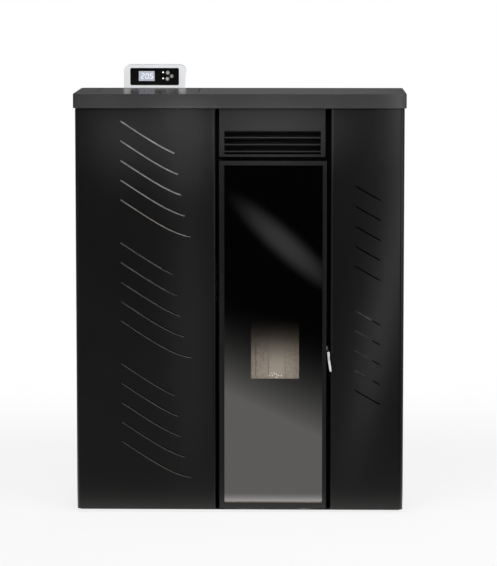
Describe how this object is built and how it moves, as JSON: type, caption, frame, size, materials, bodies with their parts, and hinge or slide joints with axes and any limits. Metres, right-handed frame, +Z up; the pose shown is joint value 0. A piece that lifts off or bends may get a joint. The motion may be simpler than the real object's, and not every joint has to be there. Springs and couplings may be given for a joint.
{
  "type": "pellet stove",
  "caption": "Slim free-standing pellet stove with a tall glass door, slotted side panels, lidded hopper, warm-air grille and rear console.",
  "frame": {"origin": "centre of the bounding box at floor level", "axes": "+X to the stove's right as seen from the front, +Y towards its back, +Z up; the door faces -Y"},
  "size_m": [0.826, 0.326, 1.11],
  "materials": {
    "black_powder_coat": "satin black powder coat",
    "top_powder_coat": "smooth dark grey powder coat",
    "stove_paint": "matt heat-resistant paint",
    "galvanised": "galvanised sheet",
    "steel": "plain steel",
    "chrome": "polished chrome",
    "cast_iron": "cast",
    "cast_aluminium": "cast",
    "vermiculite": "matt pressed board",
    "printed_glass": "black ceramic print with a clear window",
    "rope": "braided glass rope",
    "rubber": "matt",
    "dark_plastic": "satin",
    "pale_plastic": "pale grey, satin",
    "silver_plastic": "metallic silver",
    "display": "clear lens over a pale display"
  },
  "bodies": {
    "cabinet": {"base_plate": "black_powder_coat", "left_casing_panel": "black_powder_coat", "right_casing_panel": "black_powder_coat", "back_panel": "black_powder_coat", "air_outlet_panel": "black_powder_coat", "air_outlet_grille": "black_powder_coat", "console_bracket": "black_powder_coat", "top_plate": "top_powder_coat", "bay_post_left": "stove_paint", "bay_post_right": "stove_paint", "firebox_shell": "stove_paint", "heat_exchanger": "stove_paint", "flue_spigot": "stove_paint", "pellet_hopper": "galvanised", "pellet_chute": "galvanised", "ash_pan": "galvanised", "room_fan_housing": "galvanised", "heat_shield": "galvanised", "lid_hinge_leaf": "steel", "door_hinge_upper": "steel", "door_hinge_lower": "steel", "latch_keeper": "steel", "hopper_guard_grid": "steel", "auger_tube": "steel", "igniter": "steel", "air_inlet_pipe": "steel", "burn_pot_seat": "cast_iron", "auger_gearmotor": "cast_aluminium", "extractor_housing": "cast_aluminium", "liner_back": "vermiculite", "liner_left": "vermiculite", "liner_right": "vermiculite", "baffle_plate": "vermiculite", "extractor_motor": "dark_plastic", "room_fan_motor": "dark_plastic", "control_board_case": "dark_plastic", "power_inlet": "dark_plastic", "console_fascia": "dark_plastic", "console_housing": "pale_plastic", "console_display": "display"},
    "lid": {"hopper_lid": "top_powder_coat", "lid_gasket": "rubber"},
    "door": {"door_frame": "black_powder_coat", "door_glass": "printed_glass", "door_inner_panel": "stove_paint", "door_rope_seal": "rope"},
    "handle": {"door_handle": "chrome", "latch_hook": "steel"},
    "auger": {"auger_screw": "steel"},
    "smoke_wheel": {"extractor_impeller": "steel"},
    "room_wheel": {"room_fan_wheel": "cast_aluminium"},
    "pot": {"burn_pot": "cast_iron"},
    "switch": {"power_switch": "dark_plastic"},
    "button_1": {"console_button_1": "silver_plastic"},
    "button_2": {"console_button_2": "silver_plastic"},
    "button_3": {"console_button_3": "silver_plastic"},
    "foot_1": {"levelling_foot_1": "steel"},
    "foot_2": {"levelling_foot_2": "steel"},
    "foot_3": {"levelling_foot_3": "steel"},
    "foot_4": {"levelling_foot_4": "steel"}
  },
  "joints": [
    {"name": "door_hinge", "type": "hinge", "parent": "cabinet", "child": "door", "pos_m": [-0.046, -0.147, 0.45], "axis": [0, 0, -1], "range_deg": [0, 100]},
    {"name": "handle_turn", "type": "hinge", "parent": "door", "child": "handle", "pos_m": [0.221, -0.157, 0.404], "axis": [0, -1, 0], "range_deg": [0, 55]},
    {"name": "lid_hinge", "type": "hinge", "parent": "cabinet", "child": "lid", "pos_m": [-0.233, 0.109, 1.0468], "axis": [-1, 0, 0], "range_deg": [0, 75]},
    {"name": "auger_turn", "type": "hinge", "parent": "cabinet", "child": "auger", "pos_m": [-0.32, 0.02, 0.462], "axis": [0.811, 0, 0.585], "continuous": true},
    {"name": "smoke_wheel_turn", "type": "hinge", "parent": "cabinet", "child": "smoke_wheel", "pos_m": [0.29, 0.008, 0.2], "axis": [1, 0, 0], "continuous": true},
    {"name": "room_wheel_turn", "type": "hinge", "parent": "cabinet", "child": "room_wheel", "pos_m": [0.06, 0.06, 0.088], "axis": [1, 0, 0], "continuous": true},
    {"name": "pot_lift", "type": "slide", "parent": "cabinet", "child": "pot", "axis": [0, 0, 1], "range_m": [0, 0.1]},
    {"name": "power_switch_rock", "type": "hinge", "parent": "cabinet", "child": "switch", "pos_m": [0.367, 0.121, 0.062], "axis": [1, 0, 0], "range_deg": [0, 14]},
    {"name": "button_1_press", "type": "slide", "parent": "cabinet", "child": "button_1", "axis": [0, 1, 0], "range_m": [0, 0.0008], "stiffness_N_per_m": 800},
    {"name": "button_2_press", "type": "slide", "parent": "cabinet", "child": "button_2", "axis": [0, 1, 0], "range_m": [0, 0.0008], "stiffness_N_per_m": 800},
    {"name": "button_3_press", "type": "slide", "parent": "cabinet", "child": "button_3", "axis": [0, 1, 0], "range_m": [0, 0.0008], "stiffness_N_per_m": 800},
    {"name": "foot_1_turn", "type": "hinge", "parent": "cabinet", "child": "foot_1", "pos_m": [-0.36, -0.105, 0.01], "axis": [0, 0, 1], "continuous": true},
    {"name": "foot_2_turn", "type": "hinge", "parent": "cabinet", "child": "foot_2", "pos_m": [0.36, -0.105, 0.01], "axis": [0, 0, 1], "continuous": true},
    {"name": "foot_3_turn", "type": "hinge", "parent": "cabinet", "child": "foot_3", "pos_m": [0.36, 0.075, 0.01], "axis": [0, 0, 1], "continuous": true},
    {"name": "foot_4_turn", "type": "hinge", "parent": "cabinet", "child": "foot_4", "pos_m": [-0.36, 0.075, 0.01], "axis": [0, 0, 1], "continuous": true}
  ]
}
